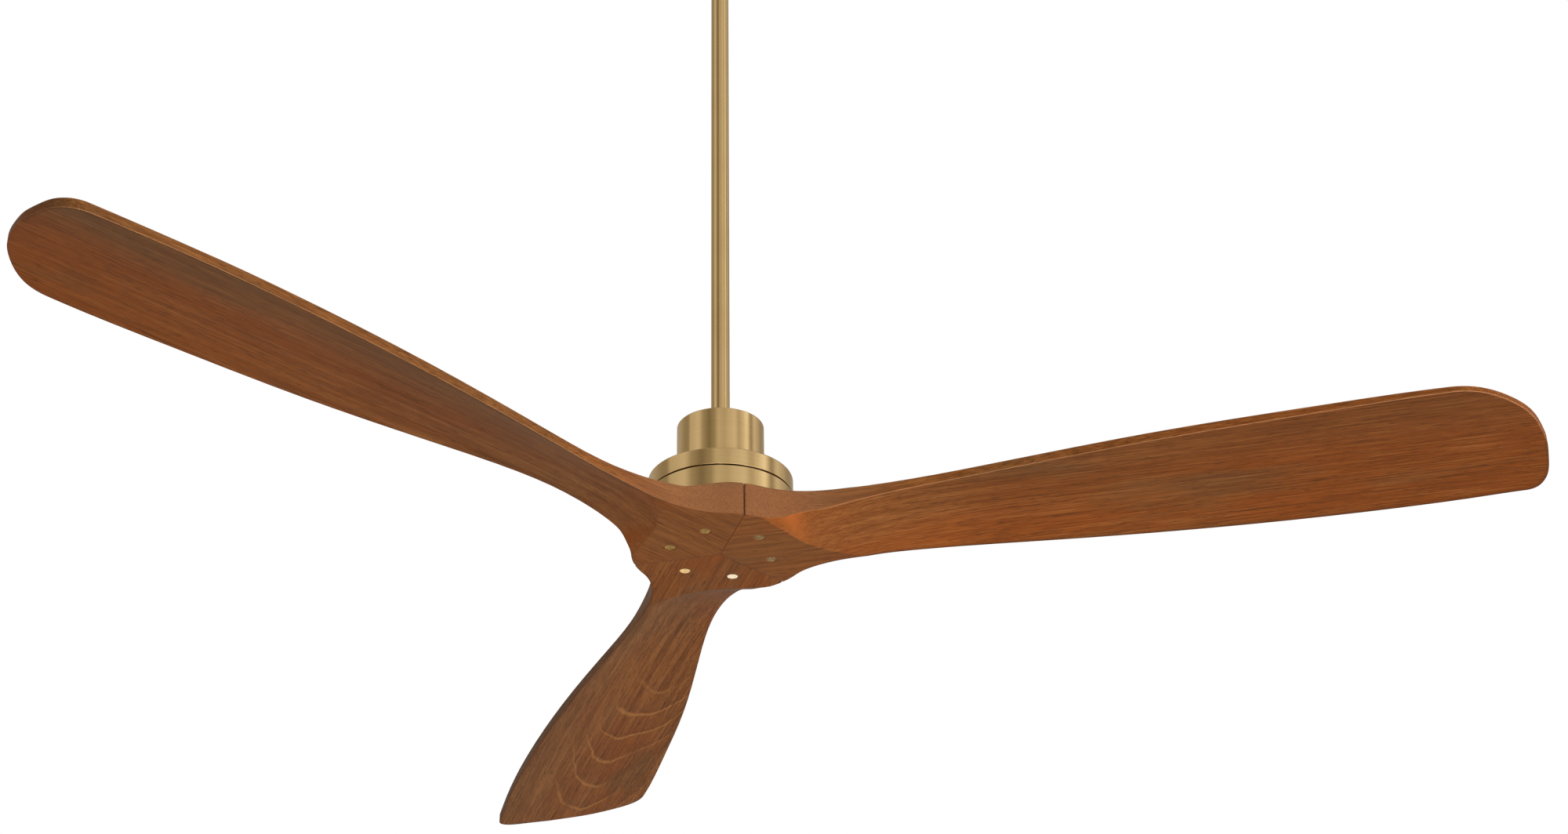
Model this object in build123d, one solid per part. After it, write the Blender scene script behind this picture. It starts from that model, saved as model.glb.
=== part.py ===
from build123d import *
import math
import os

# A three-blade ceiling fan with a carved wooden propeller, in millimetres, +Z up.
# The origin is the middle of the ceiling plane, so the whole fan hangs below it.
# Heights h below are measured up from the flat bottom of the wooden hub; place() lowers a
# finished piece by DROP, the distance from the ceiling down to that face.

# ---- driving dimensions ----
SWEEP_D = 1786.0  # a nominal 70 inch fan
ROD_L = 762.0  # a 30 inch downrod of half-inch pipe
ROD_R, ROD_BORE_R = 10.65, 7.9
HUB_R = 99.0
HUB_T = 38.0
HOUSING_R = 81.4
NECK_R = 49.3
CLEAR = 0.25  # radial gap of loose fits
PROUD = 0.2  # how far a socket's cutter starts outside its screw
TOUCH = 0.1  # how near two lengths or heights must be to count as the same

# ---- heights, up from the hub's bottom face ----
PAD_TOP = HUB_T + 1.0
FLOOR_TOP = PAD_TOP + 2.0  # floor of the lower housing
SHELL_FLOOR = FLOOR_TOP + 5.0  # floor of the rotor shell
RING_TOP = 68.9  # top of the turning ring
RING_GAP = 1.4  # running gap between the two rings
HOUSING_TOP = 90.85
NECK_TOP = 159.5
COVER_BASE, COVER_TOP = 66.0, 70.0  # rotor cover plate
CORE_BASE, CORE_TOP = 50.0, 62.0  # stator stack
ROD_BASE = 118.0
ROD_TOP = ROD_BASE + ROD_L
BALL_H = ROD_TOP - 14.0  # centre of the hanger ball, the tilt pivot
CANOPY_BASE = BALL_H - 24.0
DROP = BALL_H + 44.0  # the ceiling plane

# ---- bearings, 17 x 40 x 12 deep groove ----
BRG_ID_R, BRG_OD_R, BRG_W = 8.5, 20.0, 12.0
BRG_PITCH_R, BRG_BALL_R, BRG_BALLS = 14.25, 3.37, 8
BRG_GROOVE_R = 3.5
BRG_INNER_LAND, BRG_OUTER_LAND = 12.2, 16.4
BRG_START = 20.0  # angle of the first ball
CAGE_HALF, CAGE_EDGE = 1.1, 1.4  # half the cage's thickness; its distance from the rings' faces
CAGE_PLAY = 0.12  # round each ball
LOWER_BRG, UPPER_BRG = 28.0, COVER_TOP  # undersides of the two bearings
POCKET_BASE = 24.0  # recess in the wooden hub that takes the lower bearing seat
POCKET_R = 27.75

# ---- hub screws ----
HUB_SCREW_R, HUB_SCREW_ANGLE = 58.0, 28.4  # pitch radius; angle either side of a blade's axis
SCREW_R, SCREW_HOLE_R = 3.0, 3.3
HEAD_R, HEAD_BORE_R = 5.8, 6.4
HEAD_SEAT = 5.4  # depth of the counterbore
HEAD_LOW = 2.1  # the button head's lowest point, below the seat
HEAD_CROWN = [(2.8, 2.3), (HEAD_R, 3.6)]  # its rounded face, as radius and height
SOCKET_HALF, SOCKET_DEPTH = 2.0, 2.2
CAP_DEPTH, CAP_T = 0.5, 1.4  # the caps sit this far in and are this thick
CAP_R, CAP_BEVEL = HEAD_BORE_R - 0.02, 0.4

# ---- blade planform: x along the blade, y to the side that a turn to the left leads ----
BLADE_AZIMUTHS = {"blade_right": -14.85, "blade_far": 105.15, "blade_left": 225.15}
SEAM_GAP = 0.3
SEAM_ROUND = 2.5  # where a seam meets the hub's round side
ROOT_ANGLE = 46.0  # where the round hub starts to run into the blade's edges
TIP_X = SWEEP_D / 2 - 1.0
EDGE_A = [(100, 54.2), (150, 46.9), (230, 50.3), (340, 63.0), (500, 78.8), (680, 87.0), (800, 85.4)]
EDGE_B = [(100, 53.6), (150, 46.4), (230, 49.6), (340, 63.4), (500, 84.9), (660, 97.4), (795, 103.8)]
TIP_ROUND = [(832, -92.5), (859.5, -67), (879, -36), (889.5, 0)]  # from edge B round to the tip's side
TIP_SIDE_Y = 36.0
TIP_CORNER_A = (TIP_X - 4.6, 67.0)
TIP_CORNER_END = (TIP_X - 25.0, 81.6)  # where the corner runs into edge A
EDGE_A_SLOPE = 0.06  # edge A's taper at that corner

# ---- blade carving: at x, the carved face leaves the hub's flat face at y = start and has
# ---- risen by rise when it reaches edge B; past x = 165 it starts just outside edge A
CARVE = [
    (52, -91.0, 0.6), (62, -77.0, 1.4), (72, -58.0, 3.6), (84, -29.0, 6.8), (98, 1.0, 10.8),
    (115, 19.5, 13.9), (132, 34.0, 16.4), (150, 44.5, 19.1), (172, 50.0, 22.3), (200, 51.5, 25.2),
    (235, 54.0, 27.1), (290, 60.5, 28.0), (400, 73.5, 27.8), (550, 85.5, 27.8), (720, 91.0, 28.4),
    (905, 86.0, 29.6),
]
TIP_THIN = 4.0  # how much thinner edge B gets towards the tip
TOP_SHALLOWER = 1.9  # the top is carved this much less deep than the underside
CAMBER = 6.0  # how far the blade is hollowed below and crowned above, across its width
CAMBER_START, CAMBER_FULL = 110.0, 330.0  # where the hollow begins and where it is full
CARVE_MARGIN = 14.0  # how far the carving tool runs on past both edges
CARVE_REACH = 114.5  # the carving's outer edge beside the hub
CARVE_THICK = 60.0  # thickness of the tool, more than the hub's
CARVE_LINES, CARVE_POINTS = 30, 9  # lines along the tool, and points across each
CARVE_SPACING = 1.7  # above 1, the lines are closer together near the hub
EDGES_FROM, EDGES_TO = EDGE_A[0][0], 790.0  # where the carving follows the blade's edges
SHALLOWER_RUN = 80.0  # the top's shallower carving comes in over this length


def turned(*profile):
    """A solid of revolution about Z with the given (radius, height) corners."""
    return revolve(make_face(Plane.XZ * Polyline(*profile, close=True)), Axis.Z)


def tube(r_in, r_out, low, high):
    """A plain ring between two heights."""
    return turned((r_in, low), (r_out, low), (r_out, high), (r_in, high))


def disc(radius, low, high):
    """A plain cylinder between two heights."""
    return Pos(0, 0, low) * extrude(Circle(radius), high - low)


def hexagon(half, low, high):
    """A hexagonal prism, half its width across the flats given."""
    return Pos(0, 0, low) * extrude(RegularPolygon(half, 6, major_radius=False), high - low)


def block(x0, x1, y0, y1, low, high):
    """A box given by its limits."""
    size = Box(x1 - x0, y1 - y0, high - low)
    return Pos((x0 + x1) / 2, (y0 + y1) / 2, (low + high) / 2) * size


def bar_x(radius, x0, x1, y, h):
    """A round bar along X."""
    return Pos(x0, y, h) * Rot(0, 90, 0) * extrude(Circle(radius), x1 - x0)


def bar_y(radius, y0, y1, x, h):
    """A round bar along Y."""
    return Pos(x, y0, h) * Rot(-90, 0, 0) * extrude(Circle(radius), y1 - y0)


def around(piece, count, start=0.0):
    """Equal copies of a piece turned about Z."""
    return [Rot(0, 0, start + 360 * i / count) * piece for i in range(count)]


def cut_all(body, tools):
    """The body less every tool."""
    for tool in tools:
        body = body - tool
    return body


def rounded(body, radius, test):
    """The body with the edges that pass the test rounded."""
    return fillet([e for e in body.edges() if test(e)], radius)


def at_ring(radius, height):
    """A test for the circular edge of one radius at one height."""
    def test(edge):
        if edge.geom_type != GeomType.CIRCLE:
            return False
        return abs(edge.radius - radius) < 0.01 and abs(edge.center().Z - height) < 0.01
    return test


def hub_screw_places():
    """The six hub screw positions, in the fan's own axes."""
    for azimuth in BLADE_AZIMUTHS.values():
        for side in (-1, 1):
            angle = math.radians(azimuth + side * HUB_SCREW_ANGLE)
            yield HUB_SCREW_R * math.cos(angle), HUB_SCREW_R * math.sin(angle)


# ---- the propeller ----

def smooth_at(table, x, column=1):
    """A column of a table at x, as a smooth curve through the table's rows."""
    def slope(k):
        low, high = max(k - 1, 0), min(k + 1, len(table) - 1)
        return (table[high][column] - table[low][column]) / (table[high][0] - table[low][0])

    k = 0
    while k < len(table) - 2 and x > table[k + 1][0]:
        k += 1
    x0, x1 = table[k][0], table[k + 1][0]
    v0, v1 = table[k][column], table[k + 1][column]
    width = x1 - x0
    t = (x - x0) / width
    ease = t * t * (3 - 2 * t)
    bend = slope(k) * (t - 2 * t * t + t**3) + slope(k + 1) * (t**3 - t * t)
    return v0 + (v1 - v0) * ease + width * bend


def polar(radius, degrees):
    """A point in the blade's plane."""
    return radius * math.cos(math.radians(degrees)), radius * math.sin(math.radians(degrees))


def planform():
    """A 120 degree hub sector that runs out into the blade, with the rounded tip."""
    point = SEAM_GAP / 2 / math.sin(math.radians(60))
    seam_x, seam_y = polar(HUB_R - point / 2, 60)
    low_seam, high_seam = (seam_x + point, -seam_y), (seam_x + point, seam_y)
    low_root, high_root = polar(HUB_R, -ROOT_ANGLE), polar(HUB_R, ROOT_ANGLE)
    root_dir = polar(1, 90 - ROOT_ANGLE)
    edge_b = [(x, -w) for x, w in EDGE_B]
    tip_side = (TIP_X, TIP_SIDE_Y)
    inward = (-1, EDGE_A_SLOPE)
    lines = [
        Line((point, 0), low_seam),
        ThreePointArc(low_seam, polar(HUB_R, -(60 + ROOT_ANGLE) / 2), low_root),
        Spline(low_root, *edge_b[:2], tangents=(root_dir, (1, 0)), tangent_scalars=(0.7, 0.7)),
        Spline(*edge_b[1:], tangents=((1, 0), (1, 0)), tangent_scalars=(1, 1)),
        Spline(edge_b[-1], *TIP_ROUND, tip_side, tangents=((1, 0), (0, 1))),
        Spline(tip_side, TIP_CORNER_A, TIP_CORNER_END, tangents=((0, 1), inward)),
        Spline(TIP_CORNER_END, *reversed(EDGE_A[1:]), tangents=(inward, (-1, 0))),
        Spline(*reversed(EDGE_A[:2]), high_root, tangents=((-1, 0), (-root_dir[0], root_dir[1]))),
        ThreePointArc(high_root, polar(HUB_R, (60 + ROOT_ANGLE) / 2), high_seam),
        Line(high_seam, (point, 0)),
    ]
    return Face(Wire([line.edge() for line in lines]))


def edge_y(edge, x):
    """How far an edge is from the blade's middle line at x."""
    return smooth_at(edge, min(x, EDGES_TO))


def carve_line(x, start, start_z, end, end_z, camber):
    """Points of the carved face across the blade at x, run on past both of its edges."""
    middle, half = (start + end) / 2, (end - start) / 2
    reach = 1 + CARVE_MARGIN / abs(half)
    points = []
    for i in range(CARVE_POINTS):
        u = reach * (2 * i / (CARVE_POINTS - 1) - 1)
        z = start_z + (end_z - start_z) * (1 + u) / 2 + camber * (1 - u * u)
        points.append(Vector(x, middle + half * u, z))
    return points


def carve_tool(top):
    """The solid carved off under the blade or, turned over, off its top."""
    wide, narrow = (EDGE_A, EDGE_B) if top else (EDGE_B, EDGE_A)
    first, last = CARVE[0][0], CARVE[-1][0]
    lines = []
    for i in range(CARVE_LINES + 1):
        x = first + (last - first) * (i / CARVE_LINES) ** CARVE_SPACING
        start = smooth_at(CARVE, x)
        rise = smooth_at(CARVE, x, 2)
        thin = 0.0
        if top and x > EDGES_FROM:
            rise -= TOP_SHALLOWER * min(1.0, (x - EDGES_FROM) / SHALLOWER_RUN)
            start += edge_y(narrow, x) - edge_y(wide, x)
            thin = TIP_THIN * ((x - EDGES_FROM) / (TIP_X - EDGES_FROM)) ** 3
        end = edge_y(wide, x) if x > EDGES_FROM else math.sqrt(CARVE_REACH**2 - x**2)
        share = min(1.0, max(0.0, (x - CAMBER_START) / (CAMBER_FULL - CAMBER_START)))
        camber = CAMBER * share * share * (3 - 2 * share)
        lines.append(carve_line(x, start, thin, -end, rise, -camber if top else camber))
    face = Face.make_surface_from_array_of_points(lines, tol=0.3, min_deg=3, max_deg=5)
    tool = extrude(face, CARVE_THICK, dir=(0, 0, -1))
    return Pos(0, 0, HUB_T) * Rot(180, 0, 0) * tool if top else tool


def blade(azimuth):
    """One carved blade with its third of the hub, at its place round the axis."""
    body = extrude(planform(), HUB_T)
    seam_x, seam_y = polar(HUB_R, 60)
    body = rounded(body, SEAM_ROUND, lambda e: abs(e.length - HUB_T) < TOUCH
                   and math.hypot(e.center().X - seam_x, abs(e.center().Y) - seam_y) < 1)
    body = body - carve_tool(top=False)
    body = Rot(0, 0, azimuth) * (body - carve_tool(top=True))
    body = body - disc(POCKET_R, POCKET_BASE, HUB_T + 1)
    for x, y in hub_screw_places():
        if abs((math.degrees(math.atan2(y, x)) - azimuth + 180) % 360 - 180) < 60:
            body = body - Pos(x, y, 0) * disc(SCREW_HOLE_R, -1, HUB_T + 1)
            body = body - Pos(x, y, 0) * disc(HEAD_BORE_R, -1, HEAD_SEAT)
    return body


def blade_screws():
    """Six button-head screws up through the hub into the rotor shell."""
    screws = []
    for x, y in hub_screw_places():
        head = turned((0, HEAD_LOW), *HEAD_CROWN, (HEAD_R, HEAD_SEAT), (0, HEAD_SEAT))
        socket = hexagon(SOCKET_HALF, HEAD_LOW - PROUD, HEAD_LOW + SOCKET_DEPTH)
        shank = disc(SCREW_R, HEAD_SEAT, SHELL_FLOOR - 0.5)
        screws.append(Pos(x, y, 0) * (head + shank - socket))
    return screws


def screw_caps():
    """Six plain discs that close the screw holes, a little below the hub's face."""
    top = CAP_DEPTH + CAP_T
    cap = turned((0, CAP_DEPTH), (CAP_R - CAP_BEVEL, CAP_DEPTH), (CAP_R, CAP_DEPTH + CAP_BEVEL),
                 (CAP_R, top), (0, top))
    return [Pos(x, y, 0) * cap for x, y in hub_screw_places()]


def hub_pad():
    """The rubber pad between the wood and the lower housing."""
    pad = tube(POCKET_R, HOUSING_R - 3, HUB_T, PAD_TOP)
    return cut_all(pad, [Pos(x, y, 0) * disc(SCREW_HOLE_R, HUB_T - 1, PAD_TOP + 1)
                         for x, y in hub_screw_places()])


# ---- the turning half of the motor ----

WALL = 2.0  # brass housing
SHELL_R, SHELL_BORE_R = HOUSING_R - WALL - 0.3, 74.0
SEAT_R = 27.0  # outside of the bearing seats
COVER_R = SHELL_R - 0.6
LIP_R = 16.0  # hole in the shoulder that each bearing rests on
LIP_T = 3.0
COVER_SCREW_R, COVER_SCREW_SHANK_R = 76.4, 1.25
COVER_SCREW_HEAD_R, COVER_SCREW_HEAD_H = 2.0, 1.6
COVER_SCREW_SET = (6, 15)  # how many, and the angle of the first
WINDOW_SET = (6, 30)
WINDOW_AT, WINDOW_R = 40.0, 6.0  # openings in the shell's floor
VENT_AT, VENT_R = 50.0, 7.0  # openings in the rotor cover
MAGNETS, MAGNET_T = 14, 5.0
MAGNET_GAP = 2.0  # degrees between two magnets


def lower_housing():
    """The turning brass ring, with the floor that the blade screws clamp."""
    cup = turned((POCKET_R, PAD_TOP), (HOUSING_R, PAD_TOP), (HOUSING_R, RING_TOP),
                 (HOUSING_R - WALL, RING_TOP), (HOUSING_R - WALL, FLOOR_TOP), (POCKET_R, FLOOR_TOP))
    cup = rounded(cup, 1.6, at_ring(HOUSING_R, PAD_TOP))
    cup = rounded(cup, 0.7, at_ring(HOUSING_R, RING_TOP))
    return cut_all(cup, [Pos(x, y, 0) * disc(SCREW_HOLE_R, HUB_T, FLOOR_TOP + 1)
                         for x, y in hub_screw_places()])


def rotor_shell():
    """The cast shell that carries the magnets and the lower bearing."""
    base = LOWER_BRG - LIP_T
    shell = turned(
        (LIP_R, base), (SEAT_R, base), (SEAT_R, FLOOR_TOP), (SHELL_R, FLOOR_TOP),
        (SHELL_R, COVER_BASE), (SHELL_BORE_R, COVER_BASE), (SHELL_BORE_R, SHELL_FLOOR),
        (BRG_OD_R, SHELL_FLOOR), (BRG_OD_R, LOWER_BRG), (LIP_R, LOWER_BRG),
    )
    tapped = [Pos(x, y, 0) * disc(SCREW_R + 0.02, FLOOR_TOP - 1, SHELL_FLOOR + 1)
              for x, y in hub_screw_places()]
    window = Pos(WINDOW_AT, 0, 0) * disc(WINDOW_R, FLOOR_TOP - 1, SHELL_FLOOR + 1)
    hole = disc(COVER_SCREW_SHANK_R + 0.02, COVER_BASE - 9, COVER_BASE + 1)
    cover_holes = around(Pos(COVER_SCREW_R, 0, 0) * hole, *COVER_SCREW_SET)
    return cut_all(shell, tapped + around(window, *WINDOW_SET) + cover_holes)


def rotor_cover():
    """The plate over the rotor, with the upper bearing's seat."""
    top = UPPER_BRG + BRG_W + 0.5
    cover = turned((LIP_R, COVER_BASE), (COVER_R, COVER_BASE), (COVER_R, COVER_TOP),
                   (SEAT_R, COVER_TOP), (SEAT_R, top), (BRG_OD_R, top), (BRG_OD_R, UPPER_BRG),
                   (LIP_R, UPPER_BRG))
    hole = disc(COVER_SCREW_SHANK_R + 0.35, COVER_BASE - 1, COVER_TOP + 1)
    holes = around(Pos(COVER_SCREW_R, 0, 0) * hole, *COVER_SCREW_SET)
    vent = Pos(VENT_AT, 0, 0) * disc(VENT_R, COVER_BASE - 1, COVER_TOP + 1)
    return cut_all(cover, holes + around(vent, *WINDOW_SET))


def rotor_cover_screws():
    """Six pan-head screws from the cover into the shell's wall."""
    head_top = COVER_TOP + COVER_SCREW_HEAD_H
    head = disc(COVER_SCREW_HEAD_R, COVER_TOP, head_top)
    shank = disc(COVER_SCREW_SHANK_R, COVER_BASE - 8, COVER_TOP)
    slot = block(-COVER_SCREW_HEAD_R, COVER_SCREW_HEAD_R, -0.3, 0.3, head_top - 0.7, head_top + 1)
    return around(Pos(COVER_SCREW_R, 0, 0) * (head + shank - slot), *COVER_SCREW_SET)


def rotor_magnets():
    """Fourteen arc magnets glued inside the shell's wall."""
    ring = tube(SHELL_BORE_R - MAGNET_T, SHELL_BORE_R, SHELL_FLOOR + 1, COVER_BASE - 1)
    half = (360 / MAGNETS - MAGNET_GAP) / 2
    sector = make_face(Polyline((0, 0), polar(2 * HOUSING_R, -half), polar(2 * HOUSING_R, half), close=True))
    wedge = Pos(0, 0, SHELL_FLOOR) * extrude(sector, COVER_BASE - SHELL_FLOOR)
    return around(ring & wedge, MAGNETS)


# ---- bearings ----

def groove(low):
    """The ring of space that the balls run in."""
    section = Plane.XZ * Pos(BRG_PITCH_R, low + BRG_W / 2) * Circle(BRG_GROOVE_R)
    return revolve(section, Axis.Z)


def bearing_inner(low):
    """A bearing's inner ring."""
    return tube(BRG_ID_R, BRG_INNER_LAND, low, low + BRG_W) - groove(low)


def bearing_outer(low):
    """A bearing's outer ring."""
    return tube(BRG_OUTER_LAND, BRG_OD_R, low, low + BRG_W) - groove(low)


def bearing_balls(low):
    """A bearing's balls."""
    ball = Pos(BRG_PITCH_R, 0, low + BRG_W / 2) * Sphere(BRG_BALL_R)
    return around(ball, BRG_BALLS, BRG_START)


def bearing_cage(low):
    """The ring with a pocket for each ball."""
    ring = tube(BRG_PITCH_R - CAGE_HALF, BRG_PITCH_R + CAGE_HALF, low + CAGE_EDGE, low + BRG_W - CAGE_EDGE)
    pocket = bar_x(BRG_BALL_R + CAGE_PLAY, BRG_PITCH_R - 4, BRG_PITCH_R + 4, 0, low + BRG_W / 2)
    return cut_all(ring, around(pocket, BRG_BALLS, BRG_START))


# ---- the motor's still half ----

SHAFT_BASE, SHAFT_TOP = 25.0, 108.0
SHAFT_BORE_R, SHOULDER_R = 5.0, 11.0
CLIP_W, CLIP_BITE = 1.2, 0.8  # the circlip's groove
LEAD_HOLE_R = 1.7
FLANGE_T = 4.5
FLANGE_BASE = HOUSING_TOP - WALL - FLANGE_T
TOOTH_COUNT, TOOTH_W = 12, 9.0
CORE_BORE_R, YOKE_R, TOOTH_TIP_R = 24.0, 32.0, 67.4
HUB_WALL = 3.0  # the stator hub's sleeve round the shaft
TIP_T, TIP_SLOT = 5.0, 3.2  # thickness of the teeth's tips and the gap between them
INSULATOR_T, COIL_T = 1.0, 1.9
FLANGE_SCREW_R, FLANGE_SCREW_SHANK_R = 21.0, 2.5
FLANGE_SCREW_SET = (3, 90)
FLANGE_R = 26.0
FLANGE_HOLE = Pos(FLANGE_SCREW_R, 0, 0) * Cylinder(FLANGE_SCREW_SHANK_R + CLEAR, 3 * HOUSING_TOP)


def motor_shaft():
    """The hollow shaft with its shoulder between the bearings and a hole for the leads."""
    shoulder_low, shoulder_high = LOWER_BRG + BRG_W, UPPER_BRG
    shaft = turned(
        (SHAFT_BORE_R, SHAFT_BASE), (BRG_ID_R, SHAFT_BASE), (BRG_ID_R, shoulder_low),
        (SHOULDER_R, shoulder_low), (SHOULDER_R, shoulder_high), (BRG_ID_R, shoulder_high),
        (BRG_ID_R, SHAFT_TOP), (SHAFT_BORE_R, SHAFT_TOP),
    )
    clip_groove = tube(BRG_ID_R - CLIP_BITE, BRG_ID_R + 1, LOWER_BRG - CLIP_W, LOWER_BRG)
    lead_hole = bar_x(LEAD_HOLE_R, 0, SHOULDER_R + 1, 0, CORE_TOP + 2.2)
    return shaft - clip_groove - lead_hole


def shaft_circlip():
    """The open ring that holds the lower bearing on the shaft."""
    ring = tube(BRG_ID_R - CLIP_BITE + 0.05, BRG_ID_R + 2, LOWER_BRG - CLIP_W + 0.02, LOWER_BRG)
    return ring - block(0, 12, -2.5, 2.5, 20, 30)


def bearing_spacer():
    """The sleeve between the upper bearing and the shaft flange."""
    return tube(BRG_ID_R + 0.05, SHOULDER_R, UPPER_BRG + BRG_W, FLANGE_BASE)


def stator_hub():
    """The spoked disc that joins the stator core to the shaft."""
    web_low, web_high = CORE_BASE + 4, CORE_TOP - 4
    hub = turned(
        (SHOULDER_R, CORE_BASE), (SHOULDER_R + HUB_WALL, CORE_BASE), (SHOULDER_R + HUB_WALL, web_low),
        (CORE_BORE_R - 2, web_low), (CORE_BORE_R - 2, CORE_BASE), (CORE_BORE_R, CORE_BASE),
        (CORE_BORE_R, CORE_TOP), (CORE_BORE_R - 2, CORE_TOP), (CORE_BORE_R - 2, web_high),
        (SHOULDER_R + HUB_WALL, web_high), (SHOULDER_R + HUB_WALL, CORE_TOP), (SHOULDER_R, CORE_TOP),
    )
    return cut_all(hub, around(Pos(18, 0, 0) * disc(2.4, CORE_BASE, CORE_TOP), 6, 30))


def stator_core():
    """The laminated ring with twelve teeth."""
    yoke = tube(CORE_BORE_R, YOKE_R, CORE_BASE, CORE_TOP)
    stem = block(YOKE_R - 2, TOOTH_TIP_R - 3, -TOOTH_W / 2, TOOTH_W / 2, CORE_BASE, CORE_TOP)
    rim = tube(TOOTH_TIP_R - TIP_T, TOOTH_TIP_R, CORE_BASE, CORE_TOP)
    half = TIP_SLOT / 2
    slot = block(TOOTH_TIP_R - TIP_T - 3, TOOTH_TIP_R + 2, -half, half, CORE_BASE - 1, CORE_TOP + 1)
    rim = cut_all(rim, around(slot, TOOTH_COUNT, 180 / TOOTH_COUNT))
    core = yoke + rim
    for tooth in around(stem, TOOTH_COUNT):
        core = core + tooth
    return core


def tooth_sleeve(gap, thick, x0, x1):
    """A rectangular sleeve round one tooth, so far off it and so thick."""
    def shell(off):
        half = TOOTH_W / 2 + off
        return block(x0, x1, -half, half, CORE_BASE - off, CORE_TOP + off)
    return shell(gap + thick) - shell(gap)


def stator_insulators():
    """A plastic sleeve round each tooth."""
    return around(tooth_sleeve(0, INSULATOR_T, YOKE_R + 1.2, TOOTH_TIP_R - TIP_T - 0.5), TOOTH_COUNT)


def stator_windings():
    """A copper coil round each insulated tooth."""
    coil = tooth_sleeve(INSULATOR_T, COIL_T, YOKE_R + 3.0, TOOTH_TIP_R - TIP_T - 1.5)
    outside = (TOOTH_W + INSULATOR_T + COIL_T) / 2
    outer = [e for e in coil.edges().filter_by(Axis.X) if abs(e.center().Y) > outside + 0.5]
    return around(fillet(outer, COIL_T - 0.5), TOOTH_COUNT)


def shaft_flange():
    """The flange on the shaft that the upper housing is clamped to."""
    flange = tube(BRG_ID_R, FLANGE_R, FLANGE_BASE, FLANGE_BASE + FLANGE_T)
    tapped = Pos(FLANGE_SCREW_R, 0, 0) * disc(FLANGE_SCREW_SHANK_R + 0.02, FLANGE_BASE - 1, HOUSING_TOP)
    return cut_all(flange, around(tapped, *FLANGE_SCREW_SET))


def upper_housing():
    """The still brass ring with its flat top."""
    inner = HOUSING_R - WALL
    cup = turned((inner, RING_TOP + RING_GAP), (HOUSING_R, RING_TOP + RING_GAP),
                 (HOUSING_R, HOUSING_TOP), (BRG_ID_R + 0.3, HOUSING_TOP),
                 (BRG_ID_R + 0.3, HOUSING_TOP - WALL), (inner, HOUSING_TOP - WALL))
    cup = rounded(cup, 1.5, at_ring(HOUSING_R, HOUSING_TOP))
    cup = rounded(cup, 0.7, at_ring(HOUSING_R, RING_TOP + RING_GAP))
    return cut_all(cup, around(FLANGE_HOLE, *FLANGE_SCREW_SET))


# ---- coupler, downrod and neck ----

COUPLER_R, COUPLER_FLANGE_T = 15.0, 5.0
COUPLER_TOP = ROD_BASE + 38.0
COUPLER_PIN_H, COUPLER_PIN_R = ROD_BASE + 22.0, 4.0
SET_SCREW_H, SET_SCREW_R = ROD_BASE + 9.0, 2.5
BALL_R = 28.0
BALL_PIN_H, BALL_PIN_R = BALL_H + 6.0, 3.2
BALL_TOP, BALL_BASE = BALL_H + 17.0, BALL_H - 22.0
BALL_SCREW_H = BALL_H - 9.0
KEY_R, KEY_TIP = 2.5, 24.0  # the bracket's key pin in the ball's groove
NECK_WALL = 1.5
FLANGE_HEAD_R, FLANGE_HEAD_H = 4.2, 4.0
PIN_HEAD_R, PIN_HEAD_T = 6.2, 3.0
CLIP_WIRE_R, CLIP_HOLE_R = 0.8, 1.0
CLIP_LENGTH, CLIP_WIDTH = 15.0, 6.5
HEX_KEY_R = 1.3  # sockets of the set screws
LEAD_R = 1.15
LEAD_YS = (-2.6, 0.0, 2.6)


def motor_coupler():
    """The flanged socket that joins the downrod to the motor."""
    flange_top = HOUSING_TOP + COUPLER_FLANGE_T
    bore_r = ROD_R + CLEAR
    body = turned(
        (BRG_ID_R + 0.1, HOUSING_TOP), (FLANGE_R + 1, HOUSING_TOP), (FLANGE_R + 1, flange_top),
        (COUPLER_R, flange_top), (COUPLER_R, COUPLER_TOP), (bore_r, COUPLER_TOP),
        (bore_r, ROD_BASE - 2), (BRG_ID_R + 0.1, ROD_BASE - 2),
    )
    body = rounded(body, 1.0, at_ring(COUPLER_R, COUPLER_TOP))
    screws = around(FLANGE_HOLE, *FLANGE_SCREW_SET)
    pin = bar_y(COUPLER_PIN_R + 0.1, -20, 20, 0, COUPLER_PIN_H)
    tapped = bar_x(SET_SCREW_R + 0.02, -20, 20, 0, SET_SCREW_H)
    return cut_all(body, screws + [pin, tapped])


def flange_screws():
    """Three screws that clamp the upper housing between coupler and shaft flange."""
    top = HOUSING_TOP + COUPLER_FLANGE_T
    head_top = top + FLANGE_HEAD_H
    screw = disc(FLANGE_HEAD_R, top, head_top) + disc(FLANGE_SCREW_SHANK_R, FLANGE_BASE, top)
    socket = hexagon(SOCKET_HALF, head_top - SOCKET_DEPTH, head_top + PROUD)
    return around(Pos(FLANGE_SCREW_R, 0, 0) * (screw - socket), *FLANGE_SCREW_SET)


def coupler_pin():
    """The headed cross pin through coupler and rod, drilled for its clip."""
    pin = bar_y(COUPLER_PIN_R, -COUPLER_R - 0.5, COUPLER_R + 6, 0, COUPLER_PIN_H)
    head = bar_y(PIN_HEAD_R, -COUPLER_R - 0.5 - PIN_HEAD_T, -COUPLER_R - 0.5, 0, COUPLER_PIN_H)
    hole = disc(CLIP_HOLE_R, COUPLER_PIN_H - 2 * COUPLER_PIN_R, COUPLER_PIN_H + 2 * COUPLER_PIN_R)
    hole = Pos(0, COUPLER_R + 3, 0) * hole
    return pin + head - hole


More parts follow.
